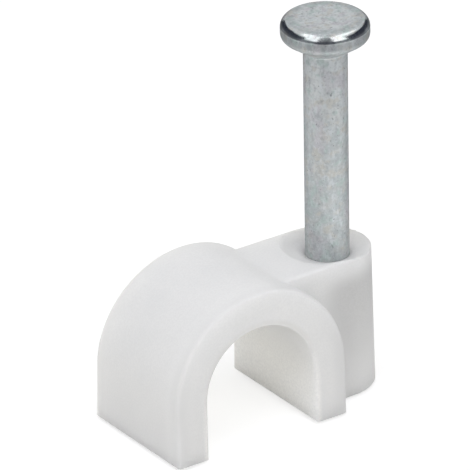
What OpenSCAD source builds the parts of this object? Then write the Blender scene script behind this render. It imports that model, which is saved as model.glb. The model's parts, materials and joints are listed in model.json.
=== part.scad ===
// Nail-in cable clip: a moulded saddle for one round cable, with a steel nail waiting in its boss.
// The wall plane is z = 0, the cable runs along Y, and the nail boss stands on the +X side.

/* [Cable channel] */
// Width of the channel where the arch begins, a little under the cable's diameter so that it grips
channel_d = 5.8; // [4:0.1:10]
// How far each leg's inner face opens out at its foot, for release from the mould
channel_flare = 0.04; // [0:0.01:0.12]
// Height of the straight part of the legs, from the wall plane to the middle of the arch
leg_h = 2.675; // [1.5:0.025:5]

/* [Saddle] */
// Thickness of the saddle's wall
wall_t = 1.685; // [1.2:0.005:2.4]
// Length of the saddle along the cable, at its feet
saddle_len = 6.55; // [5.6:0.05:10]
// How far each end face leans in from foot to crown
end_draft = 0.295; // [0:0.005:0.4]

/* [Nail boss] */
// Wall of the boss around the nail hole, at the top
boss_wall = 0.96; // [0.8:0.02:1.4]
// How much wider the boss and its web are at the wall plane, on each side
boss_draft = 0.14; // [0:0.01:0.2]
// Distance from the saddle's outer face to the nail's axis
boss_offset = 1.315; // [1:0.005:3]
// How far the top of the web lies below the crown
web_drop = 0.46; // [0.2:0.01:0.9]
// How far the round seat for the nail's head is sunk below the top of the web
seat_step = 0.16; // [0.05:0.01:0.4]
// Slope of the seat's dished floor from level, running down from its edge to the nail
seat_slope = 20; // [8:1:30]

/* [Nail] */
// Diameter of the shank
nail_d = 2; // [1.6:0.05:2.4]
// Gap between the shank and its hole, on each side
nail_clearance = 0.02; // [0.01:0.005:0.05]
// Length from the tip to the top of the head
nail_len = 17.8; // [15:0.1:30]
// How far the tip stays above the wall plane before the nail is driven
tip_inset = 0.2; // [0.1:0.05:0.8]
// Length of the four-sided point
tip_len = 2; // [1.5:0.1:3]
// How far the head stands out from the shank, all round
head_overhang = 1.01; // [0.8:0.01:1.3]
// Radius of the head's upper edge
head_top_round = 0.42; // [0.2:0.01:0.5]
// Radius of the head's lower edge
head_low_round = 0.36; // [0.2:0.01:0.4]
// Straight band of the rim between the two rounded edges
head_band = 0.28; // [0.1:0.01:0.6]
// Slope of the head's underside from level
head_slope = 34; // [25:1:45]

/* [Hidden] */
$fn = 96;
cut = 1;
// The seat is cut a little wider than the boss, so that no rim is left standing at its round end
seat_margin = 0.02;
// The head's conical underside starts a hair inside the rolled lower edge, so that the two cross cleanly
rim_tuck = 0.01;

// The channel and the saddle around it
channel_r = channel_d / 2;
saddle_r = channel_r + wall_t;
crown_z = leg_h + saddle_r;

// The boss, built up from the nail that it carries
nail_r = nail_d / 2;
hole_r = nail_r + nail_clearance;
boss_top_r = hole_r + boss_wall;
boss_foot_r = boss_top_r + boss_draft;
web_top_z = crown_z - web_drop;
seat_r = boss_top_r + seat_margin;
seat_z = web_top_z - seat_step;
dish_z = seat_z - (seat_r - hole_r) * tan(seat_slope);

// The origin is under the middle of the whole clip, so the saddle stands to its left
saddle_x = (saddle_r - (saddle_r + boss_offset + boss_foot_r)) / 2;
nail_x = saddle_x + saddle_r + boss_offset;

// The head, measured down from its flat top
head_r = nail_r + head_overhang;
nail_top_z = tip_inset + nail_len;
low_y = -head_top_round - head_band;
low_x = head_r - head_low_round;
slope_x = low_x + (head_low_round - rim_tuck) * sin(head_slope);
slope_y = low_y - (head_low_round - rim_tuck) * cos(head_slope);
neck_y = slope_y - (slope_x - nail_r) * tan(head_slope);

// Half of a cylinder that lies along Y, above the middle of the arch, on a straight block below it
module arch_half(r, len) {
  translate([0, 0, leg_h])
    intersection() {
      rotate([90, 0, 0])
        cylinder(r = r, h = len, center = true);
      translate([-r - cut, -len, 0])
        cube([2 * r + 2 * cut, 2 * len, r + cut]);
    }
}

// The saddle before its channel is taken out: an arch on a block, trimmed by the leaning end faces
module saddle_solid() {
  intersection() {
    union() {
      arch_half(saddle_r, saddle_len + 2 * cut);
      translate([-saddle_r, -saddle_len / 2 - cut, 0])
        cube([2 * saddle_r, saddle_len + 2 * cut, leg_h]);
    }
    rotate([90, 0, 90])
      linear_extrude(height = 2 * saddle_r + 2 * cut, center = true)
        polygon([
          [-saddle_len / 2, 0],
          [saddle_len / 2, 0],
          [saddle_len / 2 - end_draft, crown_z],
          [-saddle_len / 2 + end_draft, crown_z]
        ]);
  }
}

// The room for the cable, open at the wall plane and at both ends
module channel_void() {
  arch_half(channel_r, saddle_len + 4 * cut);
  rotate([90, 0, 0])
    linear_extrude(height = saddle_len + 4 * cut, center = true)
      polygon([
        [-channel_r, leg_h],
        [channel_r, leg_h],
        [channel_r + channel_flare * (leg_h + cut) / leg_h, -cut],
        [-channel_r - channel_flare * (leg_h + cut) / leg_h, -cut]
      ]);
}

// The boss with its web: a drafted block that runs from the saddle to a round, drafted end
module boss_solid() {
  rotate([90, 0, 90])
    linear_extrude(height = saddle_r + boss_offset)
      polygon([
        [-boss_foot_r, 0],
        [boss_foot_r, 0],
        [boss_top_r, web_top_z],
        [-boss_top_r, web_top_z]
      ]);
  translate([saddle_r + boss_offset, 0, 0])
    intersection() {
      cylinder(r1 = boss_foot_r, r2 = boss_top_r, h = web_top_z);
      translate([0, -boss_foot_r - cut, -cut])
        cube([boss_foot_r + cut, 2 * boss_foot_r + 2 * cut, web_top_z + 2 * cut]);
    }
}

// The nail's way through the boss: a sunk round seat whose floor is dished down to a plain hole
module nail_void() {
  rotate_extrude()
    polygon([
      [0, -cut],
      [hole_r, -cut],
      [hole_r, dish_z],
      [seat_r, seat_z],
      [seat_r, web_top_z + cut],
      [0, web_top_z + cut]
    ]);
}

// The head and the shank turned in one, with the head's flat top at z = 0 and cut corners on its rim
module nail_turned() {
  rotate_extrude()
    polygon([
      [0, 0],
      [head_r - head_top_round, 0],
      [head_r, -head_top_round],
      [head_r, low_y],
      [slope_x, slope_y],
      [nail_r, neck_y],
      [nail_r, -nail_len],
      [0, -nail_len]
    ]);
}

// One rounded edge of the rim, as a ring that fills a cut corner
module rim_ring(r, round_r, y) {
  rotate_extrude()
    translate([r - round_r, y])
      circle(r = round_r);
}

// Moulded body: saddle, web and boss in one piece
module clip_body() {
  color([0.88, 0.88, 0.87])
    translate([saddle_x, 0, 0])
      difference() {
        union() {
          saddle_solid();
          boss_solid();
        }
        channel_void();
        translate([saddle_r + boss_offset, 0, 0])
          nail_void();
      }
}

// Steel nail, with its point just above the wall plane
module nail() {
  color([0.66, 0.68, 0.7])
    translate([nail_x, 0, 0])
      difference() {
        translate([0, 0, nail_top_z])
          union() {
            nail_turned();
            rim_ring(head_r, head_top_round, -head_top_round);
            rim_ring(head_r, head_low_round, low_y);
          }
        for (turn = [0 : 90 : 270])
          translate([0, 0, tip_inset])
            rotate([0, 0, turn])
              rotate([0, 90 - atan2(tip_len, nail_r), 0])
                translate([0, -nail_d, -nail_d])
                  cube([nail_d, 2 * nail_d, nail_d + 2 * tip_len]);
      }
}

clip_body();
nail();
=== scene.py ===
import itertools
import json
import math

import bpy
import numpy as np
from bpy.props import FloatProperty, FloatVectorProperty, PointerProperty
from mathutils import Matrix, Vector


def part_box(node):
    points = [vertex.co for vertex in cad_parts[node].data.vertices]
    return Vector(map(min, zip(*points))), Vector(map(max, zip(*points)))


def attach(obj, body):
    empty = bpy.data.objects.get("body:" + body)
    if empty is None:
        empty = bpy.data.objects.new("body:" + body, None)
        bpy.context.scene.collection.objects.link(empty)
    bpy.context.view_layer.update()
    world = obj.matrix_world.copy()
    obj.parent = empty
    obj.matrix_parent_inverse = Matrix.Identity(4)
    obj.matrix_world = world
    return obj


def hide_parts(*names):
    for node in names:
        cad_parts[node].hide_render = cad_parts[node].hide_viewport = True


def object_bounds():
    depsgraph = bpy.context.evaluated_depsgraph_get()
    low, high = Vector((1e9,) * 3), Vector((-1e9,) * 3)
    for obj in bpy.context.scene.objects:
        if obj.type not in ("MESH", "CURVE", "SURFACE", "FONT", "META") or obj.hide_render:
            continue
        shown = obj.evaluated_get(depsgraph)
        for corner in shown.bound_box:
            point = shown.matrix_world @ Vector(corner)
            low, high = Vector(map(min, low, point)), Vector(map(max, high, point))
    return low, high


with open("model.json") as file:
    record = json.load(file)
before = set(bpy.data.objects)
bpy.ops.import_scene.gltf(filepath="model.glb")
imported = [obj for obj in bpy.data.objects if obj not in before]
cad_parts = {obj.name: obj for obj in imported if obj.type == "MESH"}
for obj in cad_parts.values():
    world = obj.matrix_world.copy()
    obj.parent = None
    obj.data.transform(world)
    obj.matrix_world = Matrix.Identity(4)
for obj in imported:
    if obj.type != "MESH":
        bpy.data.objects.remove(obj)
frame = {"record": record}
CAD_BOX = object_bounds()

bl_info = {
    "name": "Nail-in cable clip",
    "version": (1, 0, 0),
    "blender": (4, 5, 0),
    "location": "View3D > Sidebar > Cable clip",
    "description": "Builds the moulded clip, its plated nail and the stage they stand on",
    "category": "Object",
}

IMAGE_SIDE = 470
SENSOR = 36.0
MM = 0.001
RIM_POWER = 1.9

MOUNTS = {mount["name"]: mount for mount in frame["record"]["mounts"]}
CHANNEL = MOUNTS["cable_channel"]
CLIP_LOW, CLIP_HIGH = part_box("clip_body")
NAIL_LOW, NAIL_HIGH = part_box("nail")

SADDLE_X, _, ARCH_Z = CHANNEL["pos_m"]
CHANNEL_R = CHANNEL["dims"]["r_mm"] * MM
SADDLE_R = SADDLE_X - CLIP_LOW.x
NAIL_X = (NAIL_LOW.x + NAIL_HIGH.x) / 2
HEAD_R = (NAIL_HIGH.x - NAIL_LOW.x) / 2
BOSS_FOOT_R = CLIP_HIGH.x - NAIL_X


def length(name, description, default):
    """A size in metres that a user may change."""
    return FloatProperty(name=name, description=description, default=default, unit="LENGTH", precision=6)


def angle(name, description, degrees):
    """An angle that a user may change, given here in degrees."""
    return FloatProperty(name=name, description=description, default=math.radians(degrees), subtype="ANGLE")


def power(name, description, default):
    """A lamp's power in watts that a user may change."""
    return FloatProperty(name=name, description=description, default=default, unit="POWER", precision=3)


def level(name, description, default):
    """A light level that a user may change, where 1 is white."""
    return FloatProperty(name=name, description=description, default=default, min=0, precision=3)


def colour(name, description, default):
    """A linear colour that a user may change."""
    return FloatVectorProperty(
        name=name, description=description, default=default, subtype="COLOR", min=0, max=1
    )


class MouldingSettings(bpy.types.PropertyGroup):
    """Sizes and colours of the moulded clip"""

    end_draft: length("End draft", "How far each end face leans in from foot to crown", 0.295 * MM)
    channel_flare: length("Channel flare", "How far each leg opens out at its foot", 0.04 * MM)
    web_drop: length("Web drop", "How far the top of the web lies below the crown", 0.42 * MM)
    boss_draft: length("Boss draft", "How much wider the boss is at the wall plane", 0.14 * MM)
    seat_step: length("Seat step", "How far the round seat is sunk below the web", 0.13 * MM)
    seat_margin: length("Seat margin", "How much wider than the boss the seat is cut", 0.02 * MM)
    seat_slope: angle("Seat slope", "Slope of the seat's dished floor from level", 20)
    hole_radius: length("Hole radius", "Radius of the hole that the nail waits in", 1.02 * MM)
    seat_ramp: length("Seat ramp", "Width of the slope from the seat up to the web", 0.2 * MM)
    edge_round: length("Edge round", "Radius of the moulding's outer edges", 0.12 * MM)
    lip_round: length("Lip round", "Radius of the edges around the hole and under the feet", 0.05 * MM)
    corner_fillet: length("Corner fillet", "Fillet where the web meets the arch", 0.09 * MM)
    mesh_step: length("Mesh step", "Spacing of the surface's points", 0.084 * MM)
    plastic: colour("Plastic", "Colour of the natural polyethylene", (0.82, 0.82, 0.815))
    plastic_shade: colour("Plastic shade", "Colour of its denser clouds", (0.795, 0.798, 0.795))
    plastic_grain: colour("Plastic grain", "Colour of its fine, dark grain", (0.72, 0.72, 0.72))
    # Painted shade: the legs are painted darker towards the wall, where less light reaches them.
    plastic_low_shade: colour("Plastic low down", "Colour of the legs towards the wall", (0.77, 0.767, 0.76))
    # Painted shade along the saddle's end edges, damping the bright line that the light draws there.
    plastic_edge_shade: colour("Plastic edge", "Colour along the saddle's end edges", (0.765, 0.765, 0.76))
    # Painted shade along the legs' upright edges, damping the bright line that the light draws there.
    plastic_low_edge_shade: colour("Plastic low edges", "Colour of the legs' upright edges", (0.715, 0.715, 0.71))
    # Painted light low in the channel, standing in for light bounced up from the floor into it.
    plastic_channel_light: colour("Plastic channel", "Colour low down in the channel", (0.965, 0.955, 0.925))
    # Painted shade at the top of the channel, under the arch.
    plastic_arch_shade: colour("Plastic arch", "Colour at the top of the channel", (0.74, 0.735, 0.715))
    # Painted shade in the sunk seat around the nail.
    plastic_seat_shade: colour("Plastic seat", "Colour of the seat around the nail", (0.775, 0.775, 0.77))
    # Painted light on the seat beside the nail, lifting the shade that the nail casts there.
    plastic_by_nail_light: colour("Plastic by the nail", "Colour of the seat's middle", (0.95, 0.95, 0.945))
    # Darker where the nail shows through the boss, deepened further as painted shade on the boss's front.
    plastic_over_nail_and_shade: colour(
        "Plastic over the nail", "Colour where the nail shows through the boss", (0.6, 0.6, 0.597)
    )


class NailSettings(bpy.types.PropertyGroup):
    """Sizes and colours of the plated nail"""

    shank_radius: length("Shank radius", "Radius of the plain shank", 1.0 * MM)
    point_length: length("Point length", "Length of the four-sided point", 2.0 * MM)
    rim_width: length("Rim width", "Width of the rolled upper edge, seen from above", 0.42 * MM)
    rim_height: length("Rim height", "Height of the rolled upper edge", 0.42 * MM)
    rim_band: length("Rim band", "Straight band below the rolled edge", 0.28 * MM)
    low_round: length("Low round", "Radius of the head's lower edge", 0.36 * MM)
    neck_fillet: length("Neck fillet", "Fillet between the head's underside and the shank", 0.14 * MM)
    head_slope: angle("Head slope", "Slope of the head's underside from level", 34)
    zinc: colour("Zinc", "Main colour of the plating", (0.585, 0.63, 0.635))
    zinc_patch: colour("Zinc patches", "Colour of its broad patches", (0.64, 0.66, 0.65))
    # Painted light: the zinc is painted lighter under the head and down near the seat, where the shank lies
    # in shade.
    zinc_neck_light: colour("Zinc neck", "Colour that it nears under the head and at the seat", (0.9, 0.93, 0.93))
    zinc_green: colour("Zinc green", "Colour of its green stains", (0.565, 0.665, 0.635))
    zinc_beige: colour("Zinc beige", "Colour of its beige stains", (0.665, 0.655, 0.605))
    zinc_blush: colour("Zinc blush", "Colour of its pink streaks", (0.645, 0.625, 0.66))
    zinc_light: colour("Zinc light", "Colour of the light mottle", (0.81, 0.84, 0.86))
    zinc_dark: colour("Zinc dark", "Colour of the dark mottle", (0.45, 0.475, 0.49))
    zinc_pit: colour("Zinc pits", "Colour of the small pits", (0.24, 0.25, 0.27))


class StageSettings(bpy.types.PropertyGroup):
    """Camera, floor and light of the stage"""

    azimuth: angle("Azimuth", "Camera's turn around the clip", -34.794)
    elevation: angle("Elevation", "Camera's height above level", 26.792)
    roll: angle("Roll", "Camera's turn about its own axis", -0.863)
    distance: length("Distance", "From the camera to the point it looks at", 399.703 * MM)
    focal_pixels: FloatProperty(
        name="Focal length", description="Focal length in pixels of the picture", default=9000.0
    )
    aim_height: length("Aim height", "Height of the point that the aim is counted from", 8.0 * MM)
    aim_right: length("Aim right", "How far the aim is moved to the right of the arch", 0.709 * MM)
    aim_up: length("Aim up", "How far the aim is moved up", 0.877 * MM)
    floor: colour("Floor", "Colour of the pale floor", (0.94, 0.94, 0.94))
    floor_glow: level("Floor glow", "Level that the floor adds where it is looked at", 0.66)
    sky: level("Sky", "Level of the even light all round", 0.21)
    lamp_distance: length("Lamp distance", "From each lamp to the middle of the clip", 300 * MM)
    lamp_side: length("Lamp side", "Side of each square lamp", 200 * MM)
    top_lamp: power("Top lamp", "Power of the cool lamp overhead", 0.5)
    right_lamp: power("Right lamp", "Power of the pale lamp on the right of the camera", 0.23)
    left_lamp: power("Left lamp", "Power of the low, pale lamp on the left", 0.3)
    front_lamp: power("Front lamp", "Power of the low, warm lamp under the camera", 0.088)
    back_lamp: power("Back lamp", "Power of the low, warm lamp behind the clip", 0.25)
    cool: colour("Cool light", "Colour of the lamp overhead", (0.91, 0.925, 1.0))
    pale: colour("Pale light", "Colour of the lamps on both sides", (1.0, 0.98, 0.92))
    warm: colour("Warm light", "Colour of the lamps in front and behind", (1.0, 0.965, 0.83))


def round_meet(a, b, radius):
    """Distance to the part that two shapes share, with the edge between them rounded.

    Where both distances are above -radius the result is their length, counted from -radius; elsewhere it is
    the larger of the two.
    """
    return np.minimum(-radius, np.maximum(a, b)) + np.hypot(
        np.maximum(radius + a, 0), np.maximum(radius + b, 0)
    )


def round_join(a, b, radius):
    """Distance to two shapes together, with a fillet where they meet: round_meet of the outsides."""
    return -round_meet(-a, -b, radius)


def soft_step(share):
    """0 below 0, 1 above 1 and an S-shaped rise between them."""
    share = np.clip(share, 0, 1)
    return share * share * (3 - 2 * share)


def moulding_field(sizes):
    """The distance to the clip's surface as a function of x, y and z, negative inside.

    The saddle is a half cylinder on straight legs between two leaning end planes. The web is a block with a
    round end whose half width falls evenly from foot to top. Channel, dished seat and hole are taken away.
    The seat's floor rises evenly from the hole, then by a short S-shaped ramp up to the web. Its step fades
    out towards the web's two long edges, but not at the round end.
    """
    crown_z = CLIP_HIGH.z
    half_length = CLIP_HIGH.y
    web_top = crown_z - sizes.web_drop
    boss_top_r = BOSS_FOOT_R - sizes.boss_draft
    seat_r = boss_top_r + sizes.seat_margin
    seat_tan = math.tan(sizes.seat_slope)
    end_lean = sizes.end_draft / crown_z
    boss_lean = sizes.boss_draft / web_top
    web_start = SADDLE_R * 0.3
    ramp_lift = 0.02 * MM
    edge_fade, edge_reach = 1.2 * MM, 0.7 * MM
    round_fade, round_reach = 0.9 * MM, 1.4 * MM

    def field(x, y, z):
        across, above = x - SADDLE_X, z - ARCH_Z
        side = np.abs(across)
        from_axis = np.where(above > 0, np.hypot(across, above), side)
        end = (np.abs(y) - half_length + end_lean * z) / math.hypot(1, end_lean)
        saddle = round_meet(from_axis - SADDLE_R, end, sizes.edge_round)

        from_nail = np.hypot(x - NAIL_X, y)
        plan = np.where(x > NAIL_X, from_nail, np.abs(y))
        flank = (plan - BOSS_FOOT_R + boss_lean * z) / math.hypot(1, boss_lean)
        web = round_meet(flank, z - web_top, sizes.edge_round)
        web = np.maximum(web, web_start - across)

        body = round_join(saddle, web, sizes.corner_fillet)
        body = round_meet(body, -z, sizes.lip_round)
        flare = sizes.channel_flare * np.maximum(-above, 0) / ARCH_Z
        body = round_meet(body, CHANNEL_R + flare - from_axis, sizes.edge_round)

        hole = from_nail - sizes.hole_radius
        climb = soft_step((from_nail - seat_r) / sizes.seat_ramp)
        near_edge = soft_step((np.abs(y) - edge_fade) / edge_reach)
        near_web = soft_step((NAIL_X + round_fade - x) / round_reach)
        sunk = sizes.seat_step * (1 - near_edge * near_web)
        dish = (from_nail - seat_r) * seat_tan - sunk
        floor = web_top + climb * ramp_lift + (1 - climb) * dish
        above_floor = (floor - z) * math.cos(sizes.seat_slope)
        seat = np.maximum(from_nail - seat_r - sizes.seat_ramp, above_floor)
        body = round_meet(body, -seat, sizes.lip_round)
        return round_meet(body, -hole, sizes.lip_round)

    return field


def slope_of(field, points, reach):
    """The field's gradient at each point, from central differences over a short reach."""
    return np.column_stack([
        (field(*(points + shift).T) - field(*(points - shift).T)) / (2 * reach)
        for shift in np.eye(3) * reach
    ])


def level_surface(field, low, high, step):
    """Points, quads and normals of the surface where field(x, y, z) is zero.

    A grid of cubes fills the box. Each cube that the surface crosses gets one point, the mean of the
    crossings on its twelve edges, and each grid edge that is crossed gets a quad through the four cubes
    around it. The points then slide down the field's gradient until the field is zero there.
    """
    margin, slides, least_slope = 2.3 * step, 4, 0.1
    lines = [np.arange(a - margin, b + margin + step, step) for a, b in zip(low, high)]
    start = np.array([line[0] for line in lines])
    level = field(*np.meshgrid(*lines, indexing="ij"))
    inside = level < 0
    cells = tuple(n - 1 for n in level.shape)
    corners = {
        bits: tuple(slice(b, b + n) for b, n in zip(bits, cells))
        for bits in itertools.product((0, 1), repeat=3)
    }
    held = sum(inside[part].astype(np.int8) for part in corners.values())
    crossed = (held > 0) & (held < 8)
    number = np.cumsum(crossed.ravel()).reshape(cells) - 1
    cell = np.argwhere(crossed)

    total, count = np.zeros(cell.shape), np.zeros(len(cell))
    for axis, bits in itertools.product(range(3), corners):
        if bits[axis]:
            continue
        far = tuple(1 if n == axis else b for n, b in enumerate(bits))
        near_level, far_level = level[corners[bits]][crossed], level[corners[far]][crossed]
        cuts = (near_level < 0) != (far_level < 0)
        spot = np.tile(np.array(bits, float), (len(cell), 1))
        spot[:, axis] = near_level / np.where(cuts, near_level - far_level, 1)
        total += spot * cuts[:, None]
        count += cuts
    points = start + (cell + total / count[:, None]) * step

    quads = []
    for axis in range(3):
        ahead = [slice(1, -1)] * 3
        behind = list(ahead)
        behind[axis], ahead[axis] = slice(0, -1), slice(1, None)
        change = inside[tuple(behind)] != inside[tuple(ahead)]
        shift = np.eye(3, dtype=int)
        side, other = shift[(axis + 1) % 3], shift[(axis + 2) % 3]
        base = np.argwhere(change) + side + other
        ring = [number[tuple((base - step_back).T)] for step_back in (side + other, other, 0, side)]
        ring = np.column_stack(ring)
        outward = inside[tuple(behind)][change]
        quads.append(np.where(outward[:, None], ring, ring[:, ::-1]))

    reach = step * 1e-3
    for _ in range(slides):
        slope = slope_of(field, points, reach)
        steep = np.maximum((slope ** 2).sum(1), least_slope)
        points = points - slope * (field(*points.T) / steep)[:, None]
    slope = slope_of(field, points, reach)
    return points, np.concatenate(quads), slope / np.linalg.norm(slope, axis=1)[:, None]


def steps(first, last, count):
    """Evenly spaced values or points from first to last, count of them, with first itself left out."""
    return np.linspace(first, last, count + 1)[1:]


def nail_surface(sizes, turns=160):
    """Points and faces of the nail: a profile of radius and height turned about the nail's axis.

    The profile runs from the tip up the shank, round a fillet under the head, out along the cone, round the
    lower edge, up the band and over the rolled upper edge, a curve whose two shares, each to the power
    RIM_POWER, sum to one. Near the tip the radius is cut to that of a square whose half width grows evenly
    with height.
    """
    tip_z, top_z = NAIL_LOW.z, NAIL_HIGH.z
    slope = sizes.head_slope
    down, across = math.sin(slope), math.cos(slope)
    band_top = top_z - sizes.rim_height
    low_z = band_top - sizes.rim_band
    low_x = HEAD_R - sizes.low_round
    cone_end = (low_x + sizes.low_round * down, low_z - sizes.low_round * across)
    fillet_x = sizes.shank_radius + sizes.neck_fillet
    reach_x = cone_end[0] - (fillet_x - sizes.neck_fillet * down)
    fillet_top = cone_end[1] - reach_x * math.tan(slope)
    fillet_z = fillet_top - sizes.neck_fillet * across

    stem_rows = [tip_z + steps(0, sizes.point_length, 32), steps(tip_z + sizes.point_length, fillet_z, 59)]
    stem_rows = np.concatenate(stem_rows)
    stem = np.column_stack([np.full(len(stem_rows), sizes.shank_radius), stem_rows])
    turn = steps(0, math.pi / 2 - slope, 8)
    fillet = np.column_stack([
        fillet_x - sizes.neck_fillet * np.cos(turn),
        fillet_z + sizes.neck_fillet * np.sin(turn),
    ])
    cone = steps(fillet[-1], cone_end, 8)
    turn = steps(slope - math.pi / 2, 0, 12)
    low = np.column_stack([low_x + sizes.low_round * np.cos(turn), low_z + sizes.low_round * np.sin(turn)])
    band = steps(low[-1], (HEAD_R, band_top), 4)
    turn = steps(0, math.pi / 2, 20)
    share = 2 / RIM_POWER
    rim = np.column_stack([
        HEAD_R - sizes.rim_width + sizes.rim_width * np.cos(turn) ** share,
        band_top + sizes.rim_height * np.sin(turn) ** share,
    ])
    top = steps(rim[-1], (0, top_z), 15)[:-1]
    profile = np.concatenate([stem, fillet, cone, low, band, rim, top])

    around = np.linspace(0, 2 * math.pi, turns, endpoint=False)
    radius = np.repeat(profile[:, :1], turns, axis=1)
    height = np.repeat(profile[:, 1:], turns, axis=1)
    half_width = (height - tip_z) * sizes.shank_radius / sizes.point_length
    square = half_width / np.maximum(np.abs(np.cos(around)), np.abs(np.sin(around)))
    near_tip = height < tip_z + 1.5 * sizes.point_length
    radius = np.where(near_tip, np.minimum(radius, square), radius)
    rings = np.stack([NAIL_X + radius * np.cos(around), radius * np.sin(around), height], axis=2)
    points = np.concatenate([rings.reshape(-1, 3), [(NAIL_X, 0, tip_z), (NAIL_X, 0, top_z)]])

    rows = len(profile)
    first = np.arange(turns)
    after = np.roll(first, -1)
    lift = (np.arange(rows - 1) * turns)[:, None]
    quads = np.stack([first + lift, after + lift, after + lift + turns, first + lift + turns], axis=2)
    tip, crown = rows * turns, rows * turns + 1
    last = (rows - 1) * turns
    fans = [np.column_stack([after, first, np.full(turns, tip)])]
    fans.append(np.column_stack([first + last, after + last, np.full(turns, crown)]))
    return points, quads.reshape(-1, 4).tolist() + np.concatenate(fans).tolist()


def add_piece(name, points, faces, material):
    """A smooth mesh object at the origin, with its place in its points."""
    mesh = bpy.data.meshes.new(name)
    mesh.from_pydata(points, [], faces)
    mesh.shade_smooth()
    mesh.materials.append(material)
    piece = bpy.data.objects.new(name, mesh)
    bpy.context.scene.collection.objects.link(piece)
    return piece


class Wire:
    """A socket in a node tree. Arithmetic on it adds Math nodes, and node() adds any other kind."""

    def __init__(self, tree, socket=None):
        self.tree = tree
        self.socket = socket

    def node(self, kind, settings=(), inputs=(), output=0):
        """A new node: its settings are set first, then the values or links of its inputs."""
        made = self.tree.nodes.new(kind)
        for name, value in dict(settings).items():
            setattr(made, name, value)
        for key, value in dict(inputs).items():
            if isinstance(value, Wire):
                self.tree.links.new(value.socket, made.inputs[key])
            else:
                made.inputs[key].default_value = value
        return Wire(self.tree, made.outputs[output]) if made.outputs else None

    def maths(self, operation, first, second=0.0):
        """A Math node on one or two values."""
        return self.node("ShaderNodeMath", {"operation": operation}, {0: first, 1: second})

    def __add__(self, other):
        return self.maths("ADD", self, other)

    __radd__ = __add__

    def __sub__(self, other):
        return self.maths("SUBTRACT", self, other)

    def __rsub__(self, other):
        return self.maths("SUBTRACT", other, self)

    def __mul__(self, other):
        return self.maths("MULTIPLY", self, other)

    __rmul__ = __mul__

    def __pow__(self, other):
        return self.maths("POWER", self, other)

    def ramp(self, low, high):
        """0 below low and 1 above high, with a soft rise between; it falls where high is the lower."""
        return self.node(
            "ShaderNodeMapRange", {"interpolation_type": "SMOOTHSTEP"},
            {"Value": self, "From Min": low, "From Max": high},
        )

    def mix(self, first, second):
        """The first colour where this value is 0 and the second where it is 1."""
        return self.node("ShaderNodeMix", {"data_type": "RGBA"}, {0: self, 6: first, 7: second}, output=2)


def new_material(name):
    """An empty node material, and a wire on its tree."""
    material = bpy.data.materials.new(name)
    material.use_nodes = True
    material.node_tree.nodes.clear()
    return material, Wire(material.node_tree)


def noise(wire, place, size, detail=2.0, roughness=0.5):
    """Soft noise around 0.5 whose features are about size metres across."""
    return wire.node("ShaderNodeTexNoise", (), {
        "Vector": place, "Scale": 1 / size, "Detail": detail, "Roughness": roughness,
    })


def rgba(values):
    """A colour with full alpha."""
    return (*values, 1.0)


def object_place(wire):
    """The place on the piece in Object coordinates, and its x, y and z."""
    place = wire.node("ShaderNodeTexCoord", output="Object")
    return place, *(wire.node("ShaderNodeSeparateXYZ", (), {0: place}, output=axis) for axis in "XYZ")


def far_from_nail(x, y):
    """Distance from the nail's axis."""
    off_axis = x - NAIL_X
    return (off_axis * off_axis + y * y) ** 0.5


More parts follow.
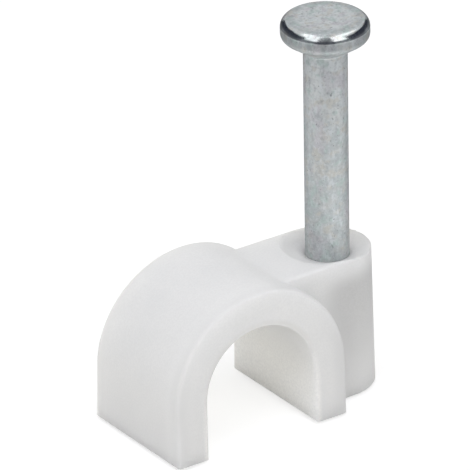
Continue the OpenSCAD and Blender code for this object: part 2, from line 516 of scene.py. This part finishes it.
def plastic_material(sizes):
    """Natural polyethylene: slightly see-through off-white, with faint clouds and a fine matte grain.

    Masks of place, each 0 to 1, lead the colour over from one part of the moulding to the next. Most of them
    paint light or shade: painted shade low down, along the end edges, under the arch, in the seat and over
    the nail, where the nail also shows through, and painted light low in the channel and beside the nail.
    """
    material, wire = new_material("natural_polyethylene")
    place, x, y, z = object_place(wire)
    top = CLIP_HIGH.z
    from_nail = far_from_nail(x, y)
    across, above = x - SADDLE_X, wire.maths("MAXIMUM", z - ARCH_Z, 0.0)
    from_axis = (across * across + above * above) ** 0.5
    along = wire.maths("ABSOLUTE", y) + z * (sizes.end_draft / top)
    near_end = along.ramp(CLIP_HIGH.y - 0.8 * MM, CLIP_HIGH.y)
    high_up = z.ramp(top - 1.3 * MM, top - 1.0 * MM)

    # Darker where the nail shows through the boss, deepened as painted shade; it fades out at the tip and
    # the top.
    nail_and_shade = from_nail.ramp(BOSS_FOOT_R + 0.6 * MM, BOSS_FOOT_R - 0.2 * MM)
    nail_and_shade = nail_and_shade * z.ramp(NAIL_LOW.z, NAIL_LOW.z + 2.4 * MM)
    nail_and_shade = nail_and_shade * z.ramp(top - 0.8 * MM, top - 1.9 * MM)
    # Painted shade, darker towards the bottom.
    low_shade = 0.7 * z.ramp(5.5 * MM, 0.3 * MM)
    # Painted shade along the saddle's end edges.
    edge_shade = near_end * from_axis.ramp(SADDLE_R - 0.16 * MM, SADDLE_R)
    # Painted shade along the legs' upright edges, fading out towards the top.
    low_edge = near_end * from_axis.ramp(SADDLE_R - 0.9 * MM, SADDLE_R - 0.1 * MM)
    low_edge = low_edge * z.ramp(6.0 * MM, 2.5 * MM)
    inside = from_axis.ramp(CHANNEL_R + 0.4 * MM, CHANNEL_R + 0.08 * MM)
    # Painted light low down inside the channel.
    channel_light = inside * z.ramp(ARCH_Z + 1.6 * MM, ARCH_Z - 1.6 * MM)
    # Painted shade under the arch, at the top of the channel.
    arch_shade = inside * z.ramp(ARCH_Z + 0.6 * MM, ARCH_Z + 2.2 * MM)
    # Painted shade in the sunk seat.
    seat_shade = from_nail.ramp(2.03 * MM, 1.93 * MM) * high_up
    # Painted light on the seat next to the nail.
    light_by_nail = 0.85 * (from_nail.ramp(1.8 * MM, 1.1 * MM) * high_up)
    clouds = noise(wire, place, 1.6 * MM, detail=3)
    grain = noise(wire, place, 0.09 * MM, detail=2)

    tint = rgba(sizes.plastic)
    for mask, colour_there in (
        (clouds.ramp(0.35, 0.75), sizes.plastic_shade),
        (nail_and_shade, sizes.plastic_over_nail_and_shade),
        (low_shade, sizes.plastic_low_shade),
        (edge_shade, sizes.plastic_edge_shade),
        (low_edge, sizes.plastic_low_edge_shade),
        (channel_light, sizes.plastic_channel_light),
        (arch_shade, sizes.plastic_arch_shade),
        (seat_shade, sizes.plastic_seat_shade),
        (light_by_nail, sizes.plastic_by_nail_light),
        (0.34 * grain.ramp(0.3, 0.7), sizes.plastic_grain),
    ):
        tint = mask.mix(tint, rgba(colour_there))
    bump = wire.node("ShaderNodeBump", (), {"Strength": 0.25, "Distance": 0.01 * MM, "Height": grain})
    shader = wire.node("ShaderNodeBsdfPrincipled", {"subsurface_method": "RANDOM_WALK"}, {
        "Base Color": tint,
        "Roughness": 0.42 + 0.12 * grain,
        "Normal": bump,
        "IOR": 1.51,
        "Specular IOR Level": 0.4,
        "Subsurface Weight": 1.0,
        "Subsurface Radius": (1.0, 1.0, 1.0),
        "Subsurface Scale": 2.0 * MM,
    })
    wire.node("ShaderNodeOutputMaterial", (), {"Surface": shader})
    return material


def zinc_material(sizes):
    """Dull zinc plating with faint tints, mottle, streaks and pits, and a bright rolled rim on the head."""
    material, wire = new_material("zinc_plated_steel")
    place, x, y, z = object_place(wire)
    radius = far_from_nail(x, y)
    rim_low = NAIL_HIGH.z - sizes.rim_height
    rim = radius.ramp(HEAD_R - 0.78 * sizes.rim_width, HEAD_R - 0.5 * sizes.rim_width)
    rim = rim * z.ramp(rim_low - 0.04 * MM, rim_low + 0.07 * MM)
    # Painted light on the shank near the seat and under the head, where it lies in shade.
    seat_light = z.ramp(CLIP_HIGH.z + 0.3 * MM, CLIP_HIGH.z - 0.9 * MM)
    neck_z = rim_low - sizes.rim_band - sizes.low_round - 0.6 * MM
    neck_light = z.ramp(neck_z - 5.0 * MM, neck_z)
    neck_light = neck_light * radius.ramp(1.5 * sizes.shank_radius, 1.2 * sizes.shank_radius)

    drawn = wire.node("ShaderNodeVectorMath", {"operation": "MULTIPLY"}, {0: place, 1: (1, 1, 0.45)})
    patches = noise(wire, place, 0.9 * MM, detail=3)
    stains = noise(wire, place, 0.5 * MM, detail=2)
    blush = noise(wire, drawn, 0.62 * MM, detail=2)
    mottle = noise(wire, drawn, 0.26 * MM, detail=4, roughness=0.6)
    speckle = noise(wire, place, 0.13 * MM, detail=2, roughness=0.6)
    dents = noise(wire, place, 0.5 * MM, detail=1)
    specks = noise(wire, place, 0.11 * MM, detail=1)
    pits = specks.ramp(0.69, 0.77) * (1 - 0.7 * rim)

    tint = rgba(sizes.zinc)
    for mask, colour_there in (
        (patches.ramp(0.35, 0.65), sizes.zinc_patch),
        (0.55 * wire.maths("MAXIMUM", 0.3 * seat_light, neck_light), sizes.zinc_neck_light),
        (0.75 * stains.ramp(0.52, 0.68), sizes.zinc_green),
        (0.7 * stains.ramp(0.47, 0.33), sizes.zinc_beige),
        (0.6 * blush.ramp(0.53, 0.68), sizes.zinc_blush),
        (0.6 * mottle.ramp(0.5, 0.7), sizes.zinc_light),
        (0.6 * mottle.ramp(0.48, 0.3), sizes.zinc_dark),
        (0.4 * speckle.ramp(0.52, 0.72), sizes.zinc_light),
        (0.45 * speckle.ramp(0.48, 0.28), sizes.zinc_dark),
        (0.7 * pits, sizes.zinc_pit),
    ):
        tint = mask.mix(tint, rgba(colour_there))
    bump = wire.node("ShaderNodeBump", (), {
        "Strength": 0.5, "Distance": 0.012 * MM, "Height": 0.5 * mottle - 0.8 * pits + 2.0 * rim * dents,
    })
    shader = wire.node("ShaderNodeBsdfPrincipled", (), {
        "Base Color": tint,
        "Metallic": 1.0,
        "Specular Tint": (0.4, 0.4, 0.4, 1),
        "Roughness": 0.52 + 0.16 * mottle - 0.42 * rim,
        "Normal": bump,
    })
    wire.node("ShaderNodeOutputMaterial", (), {"Surface": shader})
    return material


class CABLECLIP_OT_moulding(bpy.types.Operator):
    """Builds the moulded clip: saddle, web and nail boss in one surface with rounded edges"""

    bl_idname = "cable_clip.moulding"
    bl_label = "Moulded clip"

    def execute(self, context):
        sizes = context.scene.clip_moulding
        field = moulding_field(sizes)
        points, quads, normals = level_surface(field, CLIP_LOW, CLIP_HIGH, sizes.mesh_step)
        piece = add_piece("moulded_clip", points, quads, plastic_material(sizes))
        piece.data.normals_split_custom_set_from_vertices(normals)
        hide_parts("clip_body")
        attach(piece, "root")
        return {"FINISHED"}


class CABLECLIP_OT_nail(bpy.types.Operator):
    """Builds the plated nail that waits in the boss"""

    bl_idname = "cable_clip.nail"
    bl_label = "Plated nail"

    def execute(self, context):
        sizes = context.scene.clip_nail
        points, faces = nail_surface(sizes)
        piece = add_piece("plated_nail", points, faces, zinc_material(sizes))
        piece.data.set_sharp_from_angle(angle=math.radians(40))
        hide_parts("nail")
        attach(piece, "root")
        return {"FINISHED"}


def camera_axes(sizes):
    """The camera's right, up and backward directions: turned, raised, then rolled about its own axis."""
    turn, rise, roll = sizes.azimuth, sizes.elevation, sizes.roll
    back = Vector((math.sin(turn) * math.cos(rise), -math.cos(turn) * math.cos(rise), math.sin(rise)))
    right = Vector((math.cos(turn), math.sin(turn), 0))
    up = back.cross(right)
    return right * math.cos(roll) + up * math.sin(roll), up * math.cos(roll) - right * math.sin(roll), back


def add_camera(sizes):
    """The camera at the photograph's angle, with a long lens and no shift."""
    right, up, back = camera_axes(sizes)
    aim = Vector((SADDLE_X, 0, sizes.aim_height)) + right * sizes.aim_right + up * sizes.aim_up
    data = bpy.data.cameras.new("view")
    data.sensor_width = SENSOR
    data.lens = sizes.focal_pixels * SENSOR / IMAGE_SIDE
    data.clip_start, data.clip_end = 0.01, 10
    camera = bpy.data.objects.new("view", data)
    place = Matrix((right, up, back)).transposed().to_4x4()
    place.translation = aim + back * sizes.distance
    camera.matrix_world = place
    bpy.context.scene.collection.objects.link(camera)
    bpy.context.scene.camera = camera


def looked_at(wire):
    """1 for rays from the camera and for those mirrored or passed on to it, 0 for the rest."""
    seen = [
        wire.node("ShaderNodeLightPath", output=ray)
        for ray in ("Is Camera Ray", "Is Glossy Ray", "Is Transmission Ray")
    ]
    return wire.maths("MAXIMUM", wire.maths("MAXIMUM", seen[0], seen[1]), seen[2])


def add_floor(sizes):
    """A pale floor under the feet that keeps a soft shadow and reads as white."""
    material, wire = new_material("pale_floor")
    seen = looked_at(wire)
    half_floor = [0.5 * part for part in sizes.floor]
    paint = wire.node("ShaderNodeBsdfDiffuse", (), {"Color": seen.mix(rgba(sizes.floor), rgba(half_floor))})
    glow = wire.node("ShaderNodeEmission", (), {"Strength": seen * sizes.floor_glow})
    shader = wire.node("ShaderNodeAddShader", (), {0: paint, 1: glow})
    wire.node("ShaderNodeOutputMaterial", (), {"Surface": shader})
    half, low = 0.9, CLIP_LOW.z - 0.15 * MM
    corners = [(-half, -half, low), (half, -half, low), (half, half, low), (-half, half, low)]
    add_piece("floor", corners, [(0, 1, 2, 3)], material)


# Cards that the metal mirrors: name, turns from first to last, rises of the low edge and of the high edge at
# the two ends, reach in metres, and the levels of the low and the high edge. Angles are in degrees.
CARDS = (
    ("dark_right", (57, 112), (1, 3), (40, 40), 0.05, 0.07, 0.012),
    ("dark_back_right", (112, 152), (3, 1), (40, 20), 0.05, 0.07, 0.02),
    ("dark_left", (-112, -56), (0, 0), (39, 39), 0.05, 0.08, 0.012),
    ("dark_back_left", (-152, -112), (-4, 0), (20, 39), 0.05, 0.08, 0.02),
    ("dim_front", (-20, 21), (12, 12), (66, 66), 0.051, 0.15, 0.46),
    ("dim_low_front", (-25, 25), (-34, -34), (13, 13), 0.016, 0.13, 0.08),
    ("dim_low_right", (25, 60), (-26, -26), (13, 13), 0.016, 0.48, 0.14),
    ("dim_low_left", (-60, -25), (-26, -26), (13, 13), 0.016, 0.48, 0.14),
    ("low_right", (60, 110), (-28, -28), (3, 3), 0.016, 0.36, 0.1),
    ("low_left", (-110, -60), (-28, -28), (1, 1), 0.016, 0.36, 0.1),
    ("low_back_right", (110, 152), (-26, -26), (3, 1), 0.016, 0.48, 0.2),
    ("low_back_left", (-152, -110), (-26, -26), (-4, 1), 0.016, 0.4, 0.14),
    ("low_back", (150, 210), (-17, -17), (-2, -2), 0.055, 0.3, 0.5),
    ("flag_right", (95, 168), (-60, -60), (-33, -33), 0.02, 0.55, 0.55),
    ("flag_left", (-168, -110), (-60, -60), (-33, -33), 0.02, 0.58, 0.58),
    ("left_glow", (-58, -20), (33, 17), (73, 70), 0.052, 1.6, 1.4),
    ("high_left_glow", (-125, -58), (66, 43), (80, 73), 0.0525, 1.6, 1.5),
    ("right_glow", (21, 58), (17, 22), (70, 70), 0.052, 1.65, 1.45),
    ("high_right_glow", (58, 132), (56, 44), (76, 70), 0.0525, 1.6, 1.5),
    ("grey_dome", (-180, 180), (-15, -15), (90, 90), 0.06, 0.8, 0.72),
)

# Lamps: name, turn and rise in degrees, and which of the stage's light colours
LAMPS = (
    ("top_lamp", -8, 73, "cool"),
    ("right_lamp", 42, 36, "pale"),
    ("left_lamp", -110, 10, "pale"),
    ("front_lamp", -8, 4, "warm"),
    ("back_lamp", 180, 12, "warm"),
)


def set_direction(sizes, turn, rise):
    """Unit vector towards a place on the set: turn counts from the camera to its right, rise from level."""
    turn = sizes.azimuth + turn
    return np.stack([np.sin(turn) * np.cos(rise), -np.cos(turn) * np.cos(rise), np.sin(rise)], axis=-1)


def add_card(sizes, name, turns, low, high, reach, low_level, high_level):
    """A curved card of the set that only the metal mirrors: a part of a sphere around the nail's head.

    Each point is the reach times the direction given by its turn and rise. Turns are spaced evenly, and so
    are the rises between a low and a high edge, each of which runs evenly from a first rise to a last one.
    The card's grey, with a trace of blue, runs evenly from one level at the low edge to another at the high
    edge.
    """
    material, wire = new_material(name)
    share_up = wire.node("ShaderNodeAttribute", {"attribute_name": "share_up"}, output="Fac")
    blue_trace = np.array((-0.004, 0.0, 0.018))
    tint = share_up.mix(rgba(blue_trace + low_level), rgba(blue_trace + high_level))
    shader = wire.node("ShaderNodeEmission", (), {"Color": tint})
    wire.node("ShaderNodeOutputMaterial", (), {"Surface": shader})
    columns, rows = 49, 7
    turn, share = np.meshgrid(np.radians(np.linspace(*turns, columns)), np.linspace(0, 1, rows))
    low_edge, high_edge = (np.linspace(*edge, columns) for edge in (low, high))
    rise = np.radians(low_edge + share * (high_edge - low_edge))
    points = (NAIL_X, 0, NAIL_HIGH.z) + reach * set_direction(sizes, turn, rise)
    grid = np.arange(rows * columns).reshape(rows, columns)
    quads = np.stack([grid[:-1, :-1], grid[:-1, 1:], grid[1:, 1:], grid[1:, :-1]], axis=2)
    card = add_piece(name, points.reshape(-1, 3), quads.reshape(-1, 4), material)
    card.data.attributes.new("share_up", "FLOAT", "POINT").data.foreach_set("value", share.ravel())
    card.visible_camera = card.visible_diffuse = card.visible_shadow = False
    card.visible_transmission = card.visible_volume_scatter = False


def add_lamp(sizes, name, turn, rise, tint):
    """A square soft lamp that faces the clip's middle. The metal mirrors the cards instead of it."""
    data = bpy.data.lights.new(name, "AREA")
    data.shape = "SQUARE"
    data.size = sizes.lamp_side
    data.energy = getattr(sizes, name)
    data.color = getattr(sizes, tint)
    lamp = bpy.data.objects.new(name, data)
    direction = Vector(set_direction(sizes, math.radians(turn), math.radians(rise)))
    centre = (Vector(CAD_BOX[0]) + Vector(CAD_BOX[1])) / 2
    lamp.rotation_mode = "QUATERNION"
    lamp.rotation_quaternion = direction.to_track_quat("Z", "Y")
    lamp.location = centre + direction * sizes.lamp_distance
    lamp.visible_glossy = False
    bpy.context.scene.collection.objects.link(lamp)


def add_sky(sizes):
    """Even light from all sides, white where it is looked at."""
    world = bpy.data.worlds.new("studio")
    bpy.context.scene.world = world
    world.use_nodes = True
    world.node_tree.nodes.clear()
    wire = Wire(world.node_tree)
    strength = sizes.sky + (1 - sizes.sky) * looked_at(wire)
    light = wire.node("ShaderNodeBackground", (), {"Color": (1, 1, 1, 1), "Strength": strength})
    wire.node("ShaderNodeOutputWorld", (), {"Surface": light})


class CABLECLIP_OT_stage(bpy.types.Operator):
    """Sets the camera, the pale floor, the even sky, the cards and the soft lamps"""

    bl_idname = "cable_clip.stage"
    bl_label = "Stage"

    def execute(self, context):
        sizes = context.scene.clip_stage
        add_camera(sizes)
        add_floor(sizes)
        add_sky(sizes)
        for card in CARDS:
            add_card(sizes, *card)
        for lamp in LAMPS:
            add_lamp(sizes, *lamp)
        context.scene.view_settings.view_transform = "Standard"
        return {"FINISHED"}


class CABLECLIP_PT_panel(bpy.types.Panel):
    """Lists the clip's operators and settings"""

    bl_label = "Cable clip"
    bl_idname = "CABLECLIP_PT_panel"
    bl_space_type = "VIEW_3D"
    bl_region_type = "UI"
    bl_category = "Cable clip"

    def draw(self, context):
        for operator, settings in zip(OPERATORS, SETTINGS):
            box = self.layout.box()
            box.operator(operator.bl_idname)
            group = getattr(context.scene, settings)
            for name in group.__annotations__:
                box.prop(group, name)


SETTINGS = {
    "clip_moulding": MouldingSettings,
    "clip_nail": NailSettings,
    "clip_stage": StageSettings,
}
OPERATORS = (CABLECLIP_OT_moulding, CABLECLIP_OT_nail, CABLECLIP_OT_stage)
CLASSES = (*SETTINGS.values(), *OPERATORS, CABLECLIP_PT_panel)


def register():
    for each in CLASSES:
        bpy.utils.register_class(each)
    for name, group in SETTINGS.items():
        setattr(bpy.types.Scene, name, PointerProperty(type=group))


def unregister():
    for name in SETTINGS:
        delattr(bpy.types.Scene, name)
    for each in reversed(CLASSES):
        bpy.utils.unregister_class(each)


def main():
    register()
    bpy.ops.cable_clip.moulding()
    bpy.ops.cable_clip.nail()
    bpy.ops.cable_clip.stage()


if __name__ == "__main__":
    main()
